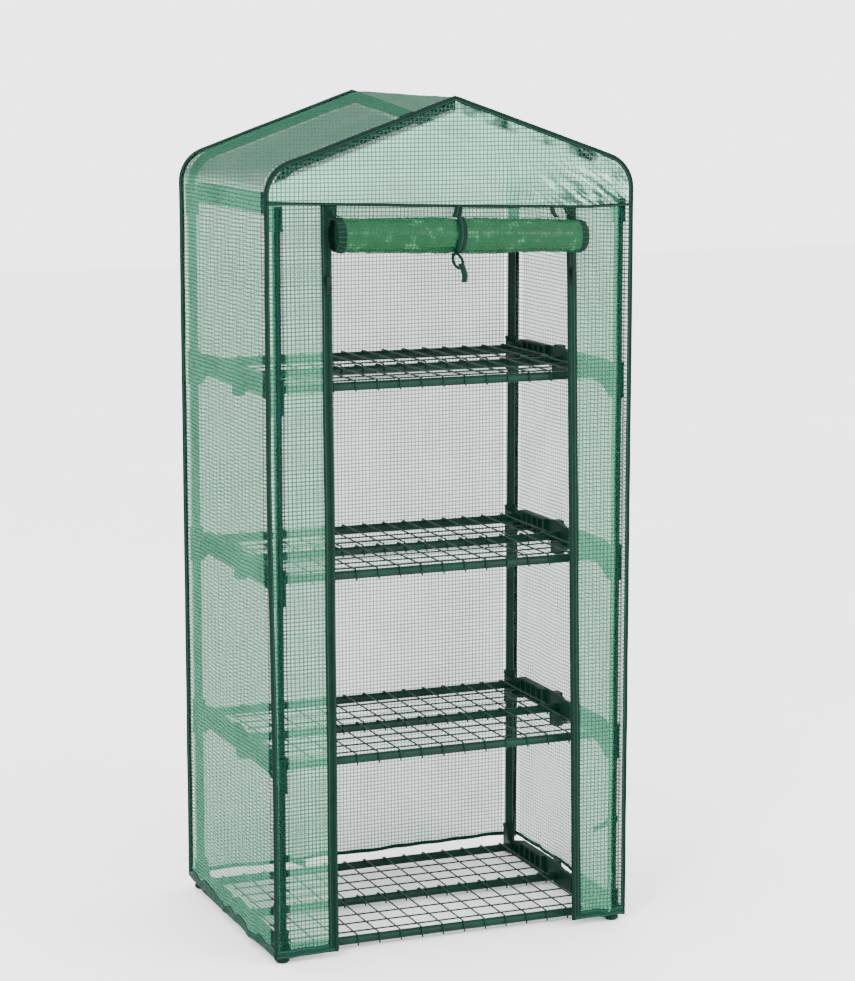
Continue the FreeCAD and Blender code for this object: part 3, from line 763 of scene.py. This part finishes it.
def build_header_piping():
    """Round piping sewn across the front at the top of the door."""
    path = []
    for n in range(91):
        x = -HALF_W + 0.003 + (2 * HALF_W - 0.006) * n / 90
        sag = 0.0014 * math.sin(math.pi * n / 90) + 0.0007 * noise.noise(Vector((x * 9, 1.0, 0.0)))
        path.append(leaned(Vector((x, FRONT_Y - 0.0022, header_z(x) - sag))))
    ring = [(0.0027 * math.cos(k * math.pi / 5), 0.0024 * math.sin(k * math.pi / 5)) for k in range(10)]
    piping = sweep("header_piping", stations_along(path, Vector((0, 0, 1))), ring, TAPE)
    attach(piping, "front_frame")


build_header_piping()


def hem_band(name, points, normal, body, squashed=False, width=0.022, uneven=0.0):
    """A folded hem along a lower edge, standing upright on it."""
    rim = [(-0.5, 0.0), (-0.42, -1.2), (-0.2, -1.5), (0.3, -0.9), (0.5, -0.5), (0.5, 0.5), (0.3, 0.9),
           (-0.2, 1.5), (-0.42, 1.2)]
    bm = bmesh.new()
    layer = bm.loops.layers.uv.new("UVMap")
    rings = []
    for n, p in enumerate(points):
        tall = width * (1 + uneven * noise.noise(Vector((n * 0.16, width * 90, 3.3))))
        rings.append([bm.verts.new(p + Vector((0, 0, tall * (a + 0.5))) + normal * (b * MM))
                      for a, b in rim])
    length = 0.0
    for n in range(len(rings) - 1):
        reach = length + (points[n + 1] - points[n]).length
        for k in range(len(rim)):
            m = (k + 1) % len(rim)
            face = bm.faces.new([rings[n][k], rings[n + 1][k], rings[n + 1][m], rings[n][m]])
            spots = [(length, rim[k][0] * width), (reach, rim[k][0] * width), (reach, rim[m][0] * width),
                     (length, rim[m][0] * width)]
            for loop, spot in zip(face.loops, spots):
                loop[layer].uv = spot
        length = reach
    bm.faces.new(rings[0])
    bm.faces.new(list(reversed(rings[-1])))
    bmesh.ops.recalc_face_normals(bm, faces=bm.faces)
    mesh = bpy.data.meshes.new(name)
    bm.to_mesh(mesh)
    bm.free()
    hem = make_object(name, mesh, [HEM])
    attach(hem, body)
    if squashed:
        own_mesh(hem)


def build_hems():
    wall = EAVE_START_Z - SIDE_HEM_Z
    roof = outline_length()
    for name, side in (("left", -1), ("right", 1)):
        start = -HALF_W if side < 0 else zip_x("right", 0) - ZIP_WIDTH / 2
        stop = zip_x("left", 0) + ZIP_WIDTH / 2 if side < 0 else HALF_W
        line = []
        for n in range(31):
            x = start + (stop - start) * n / 30
            z = FRONT_HEM_Z + hem_wave(x, 3.0, 0.002)
            line.append(Vector((x, FRONT_Y - front_out(x, z) - 0.0006, z - 0.001)))
        hem_band("front_hem_" + name, line, Vector((0, -1, 0)), "front_frame", width=0.016, uneven=0.2)
        line = []
        for n in range(91):
            y = FRONT_Y + (REAR_Y - FRONT_Y) * n / 90
            s = 0.01 if side < 0 else 2 * wall + roof - 0.01
            out = shell_out(s, y, wall, roof)
            z = SIDE_HEM_Z + side_hem_lift(y, max(0, side)) - 0.001
            line.append(Vector((side * (HALF_W + out + 0.0012), y, z)))
        tall, uneven = (0.017, 0.75) if side < 0 else (0.008, 0.3)
        hem_band("side_hem_" + name, line, Vector((side, 0, 0)), "front_frame", True, tall, uneven)
    line = []
    for n in range(71):
        x = -HALF_W + 2 * HALF_W * n / 70
        z = REAR_HEM_Z + hem_wave(x, 8.0, 0.005)
        line.append(Vector((x, REAR_Y + rear_out(x, z), z - 0.001)))
    hem_band("rear_hem", line, Vector((0, 1, 0)), "rear_frame", width=0.008, uneven=0.25)


build_hems()


# ---------------------------------------------------------------- zips

TOOTH = (0.0030, 0.0016, 0.0022)
TOOTH_PITCH = 0.004


def zip_place(side, z, lift):
    """On the middle line of a zip tape, which sways a little, lift in front of the panel."""
    inward = 1 if side == "left" else -1
    x = zip_x(side, z) + 0.0014 * noise.noise(Vector((z * 3.1, inward, 8.0)))
    return Vector((x, FRONT_Y - lift - max(0.0, front_out(zip_x(side, z), z)), z))


def zip_teeth(side, top):
    """The row of zip teeth on the inner edge of the tape."""
    inward = 1 if side == "left" else -1
    teeth = bmesh.new()
    for n in range(int((top - FRONT_HEM_Z - 0.012) / TOOTH_PITCH)):
        middle = zip_place(side, FRONT_HEM_Z + 0.006 + n * TOOTH_PITCH, 0.0020)
        middle.x += inward * 0.0084
        for v in bmesh.ops.create_cube(teeth, size=1.0)["verts"]:
            v.co = Vector(a * b for a, b in zip(v.co, TOOTH)) + middle
    mesh = bpy.data.meshes.new(side + "_zip_teeth")
    teeth.to_mesh(mesh)
    teeth.free()
    coil = bpy.data.objects.new(side + "_zip_teeth", mesh)
    bpy.context.scene.collection.objects.link(coil)
    mesh.materials.append(TAPE)
    return coil


def build_zip(side):
    """Bound edge of the door opening: a wide tape, a raised fold and a row of zip teeth."""
    steps = 150
    inward = 1 if side == "left" else -1
    top = header_z(zip_x(side, HEADER_Z))
    across = Vector((1, 0, 0))
    tape = [zip_place(side, FRONT_HEM_Z + 0.001 + (top - FRONT_HEM_Z - 0.003) * n / steps, 0.0010)
            for n in range(steps + 1)]
    fold = [p + Vector((inward * 0.0052, -0.0012, 0)) for p in tape]
    bead = [(0.0034 * math.cos(k * math.pi / 4), 0.0016 * math.sin(k * math.pi / 4)) for k in range(8)]
    wide = sweep(side + "_zip_tape", stations_along(tape, across), band_profile(ZIP_WIDTH, 0.0018), TAPE)
    raised = sweep(side + "_zip_fold", stations_along(fold, across), bead, TAPE)
    for piece in (wide, raised, zip_teeth(side, top)):
        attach(piece, "front_frame")
    return wide


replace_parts(build_zip("left"), "zip_tapes")
build_zip("right")


# ---------------------------------------------------------------- rolled door

ROLL_LEFT = roll_low.x + 0.005
ROLL_RIGHT = roll_high.x + 0.001
RIBBON_X = -0.0155
ROLL_PITCH = 0.00236
ROLL_CORE = 0.008
FLAP_TAPER = 0.02
END_BINDING = 0.017
END_RIM = 0.0012
END_TUCK = 0.003


def roll_swell(x, angle):
    """Creases and uneven winding of the roll, the same in every turn."""
    t = (x - ROLL_LEFT) / (ROLL_RIGHT - ROLL_LEFT)
    swell = -0.0016 + 0.0022 * math.sin(math.pi * min(1.0, t * 1.15))
    swell += 0.0012 * noise.noise(Vector((x * 16, math.cos(angle) * 1.3, math.sin(angle) * 1.3)))
    swell += 0.0015 * (ridged(x * 34, math.cos(angle) * 2 + 3, math.sin(angle) * 2) - 0.5)
    pinch = math.exp(-((x - RIBBON_X) / 0.012) ** 2)
    swell += 0.0014 * (ridged(x * 90, math.cos(angle) * 2.4 + 9, math.sin(angle) * 2.4) - 0.5)
    return swell - 0.0022 * pinch


def flap_point(x, t):
    """On the free stretch of the door, from its seam at the header (t = 0) to the roll (t = 1)."""
    seam = Vector((0, FRONT_Y - 0.0018, header_z(x) - 0.002))
    p = seam.lerp(Vector((0, ROLL_Y + ROLL_R, ROLL_Z + ROLL_TILT * x)), t)
    p.y -= 0.0016 * math.sin(math.pi * t) * (1 + noise.noise(Vector((x * 11, t, 2.0))))
    p.x = x * (1 - FLAP_TAPER * (1 - t))
    p.y += roll_swell(x, 0.0) * t * step(t, 0.5, 1.0)
    return p


def roll_point(x, angle):
    """On the wound stretch, from the outside turn inwards, with a rim near each end."""
    radius = ROLL_R - ROLL_PITCH * angle / (2 * math.pi) + roll_swell(x, angle)
    end = min(x - ROLL_LEFT, ROLL_RIGHT - x)
    radius += END_RIM * (1 - step(end, 0.014, 0.020)) - END_TUCK * (1 - step(end, 0.0, 0.005))
    axis_z = ROLL_Z + ROLL_TILT * x
    return Vector((x, ROLL_Y + radius * math.cos(angle), axis_z - radius * math.sin(angle)))


def roll_material_index(centre):
    """Plain sheet on the flap, layered sheet on the roll, binding at its ends."""
    if min(centre.x - ROLL_LEFT, ROLL_RIGHT - centre.x) < END_BINDING:
        return 2
    from_axis = math.hypot(centre.y - ROLL_Y, centre.z - ROLL_Z - ROLL_TILT * centre.x)
    return 1 if from_axis < ROLL_R + 0.004 else 0


def build_roll():
    flap_rows, per_turn, cols = 10, 44, 66
    wound_rows = int((ROLL_R - ROLL_CORE) / ROLL_PITCH * per_turn)
    places = [ROLL_LEFT + (ROLL_RIGHT - ROLL_LEFT) * c / cols for c in range(cols + 1)]
    rows, uvs = [], []
    length = 0.0
    for r in range(flap_rows + wound_rows + 1):
        if r < flap_rows:
            row = [flap_point(x, r / flap_rows) for x in places]
        else:
            row = [roll_point(x, 2 * math.pi * (r - flap_rows) / per_turn) for x in places]
        if rows:
            length += (row[cols // 2] - rows[-1][cols // 2]).length
        rows.append(row)
        uvs.append([(x, length) for x in places])
    roll = grid_sheet("rolled_door", rows, COVER, uvs)
    roll.data.materials.append(ROLLED)
    roll.data.materials.append(TAPE)
    for polygon in roll.data.polygons:
        polygon.material_index = roll_material_index(polygon.center)
    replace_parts(roll, "door_roll")
    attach(roll, "door_roll")


def ribbon(name, points, width, body, thick=0.0011, across=Vector((1, 0, 0)), steps=8):
    tape = sweep(name, stations_along(smooth_path(points, steps), across), band_profile(width, thick), TAPE)
    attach(tape, body)
    return tape


def build_roll_ties():
    """Centre ribbon with its loop and tail, and the short straps at the ends of the roll."""
    x = RIBBON_X
    r = ROLL_R + 0.0016
    axis_z = ROLL_Z + ROLL_TILT * x
    points = [Vector((x + 0.020, FRONT_Y - 0.006, header_z(x) - 0.003)),
              Vector((x + 0.014, FRONT_Y - 0.016, axis_z + r + 0.004))]
    for k in range(6):
        angle = math.radians(70 + k * 40)
        points.append(Vector((x + 0.008 - k * 0.002, ROLL_Y + r * math.cos(angle),
                              axis_z + r * math.sin(angle))))
    wrap = ribbon("roll_ribbon_wrap", points, 0.0145, "door_roll")
    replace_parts(wrap, "roll_ribbon")
    knot_at = Vector((x - 0.002, ROLL_Y - 0.020, axis_z - r + 0.004))
    loop = []
    for k in range(13):
        angle = math.radians(80 + k * 30)
        loop.append(knot_at + Vector((-0.001 + 0.0095 * math.cos(angle) - 0.004 * math.sin(angle),
                                      -0.003 * math.sin(angle / 2), -0.014 + 0.0130 * math.sin(angle))))
    ribbon("roll_ribbon_loop", loop, 0.0066, "door_roll", 0.0042, Vector((0, 1, 0)), 4)
    tail = [knot_at + Vector((0.003, -0.004, -0.018)), knot_at + Vector((0.007, -0.006, -0.028)),
            knot_at + Vector((0.011, -0.005, -0.040)), knot_at + Vector((0.0105, -0.003, -0.052))]
    ribbon("roll_ribbon_tail", tail, 0.0115, "door_roll")
    for name, sx, lean in (("left", ROLL_LEFT + 0.010, -0.004), ("right_1", ROLL_RIGHT - 0.047, 0.0),
                           ("right_2", ROLL_RIGHT - 0.020, 0.006)):
        top_z = ROLL_Z + ROLL_TILT * sx + ROLL_R
        start_z = min(header_z(sx) - 0.003, HEADER_Z - 0.007)
        strap = [Vector((sx, FRONT_Y - 0.0045, start_z)),
                 Vector((sx + lean * 0.2, FRONT_Y - 0.009, (start_z + top_z) / 2)),
                 Vector((sx + lean * 0.6, ROLL_Y + 0.014, top_z + 0.001)),
                 Vector((sx + lean, ROLL_Y - 0.008, top_z + 0.0010))]
        ribbon("roll_strap_" + name, strap, 0.009, "door_roll")


def build_post_ties():
    """Ribbons inside the cover that tie it to the front posts."""
    for name, side in (("left", -1), ("right", 1)):
        x, y, z = side * POST_X, FRONT_Y + 0.0155, 0.195
        around = []
        for k in range(9):
            angle = math.radians(-60 + k * 45)
            around.append(Vector((x + 0.0092 * math.cos(angle), y + 0.0092 * math.sin(angle),
                                  z + 0.0012 * k)))
        ribbon("post_tie_%s_loop" % name, around, 0.010, "front_frame", 0.0010, Vector((0, 0, 1)), 5)
        tail = [Vector((x - side * 0.004, FRONT_Y + 0.0050, z + 0.004)),
                Vector((x - side * 0.014, FRONT_Y + 0.0045, z + 0.001)),
                Vector((x - side * 0.028, FRONT_Y + 0.0060, z - 0.007)),
                Vector((x - side * 0.044, FRONT_Y + 0.0075, z - 0.012))]
        ribbon("post_tie_%s_tail" % name, tail, 0.010, "front_frame", 0.0010, Vector((0, 0, 1)))


build_post_ties()
build_roll()
build_roll_ties()


# ---------------------------------------------------------------- carried-over CAD nodes

def finish_cad_nodes():
    by_slot = {"coated_steel": STEEL, "moulded_plastic": MOULDED, "pin_steel": PIN, "zip_metal": ZIP_METAL}
    slots = {row["node"]: row["material_slot"] for row in frame["record"]["subparts"]}
    for node, obj in frame["nodes"].items():
        if slots[node] in by_slot:
            obj.data.materials.clear()
            obj.data.materials.append(by_slot[slots[node]])


finish_cad_nodes()


# ---------------------------------------------------------------- studio

def build_stage():
    mat, nodes, links, shader = new_material("pale_floor")
    place = nodes.new("ShaderNodeTexCoord").outputs["Object"]
    cloud = noise_node(nodes, links, place, 0.8)
    links.new(ramp(nodes, links, cloud, [(0.3, (0.90, 0.90, 0.90)), (0.7, (0.93, 0.93, 0.93))]),
              shader.inputs["Base Color"])
    shader.inputs["Roughness"].default_value = 0.8
    mesh = bpy.data.meshes.new("floor")
    reach = 14.0
    mesh.from_pydata([(-reach, -reach, 0), (reach, -reach, 0), (reach, reach, 0), (-reach, reach, 0)], [],
                     [(0, 1, 2, 3)])
    floor = bpy.data.objects.new("floor", mesh)
    bpy.context.scene.collection.objects.link(floor)
    mesh.materials.append(mat)
    world = bpy.data.worlds.new("studio")
    world.use_nodes = True
    world.node_tree.nodes["Background"].inputs["Color"].default_value = (1.0, 1.0, 1.0, 1.0)
    world.node_tree.nodes["Background"].inputs["Strength"].default_value = 3.6
    bpy.context.scene.world = world


def add_light(name, place, target, size, power):
    data = bpy.data.lights.new(name, "AREA")
    data.size = size
    data.energy = power
    lamp = bpy.data.objects.new(name, data)
    lamp.location = place
    lamp.rotation_euler = (Vector(target) - Vector(place)).to_track_quat("-Z", "Y").to_euler()
    bpy.context.scene.collection.objects.link(lamp)


build_stage()
add_light("key", (-3.0, -3.4, 3.2), (0, 0, 0.9), 0.9, 230)
add_light("fill", (2.6, -3.6, 2.2), (0, 0, 1.0), 1.6, 110)
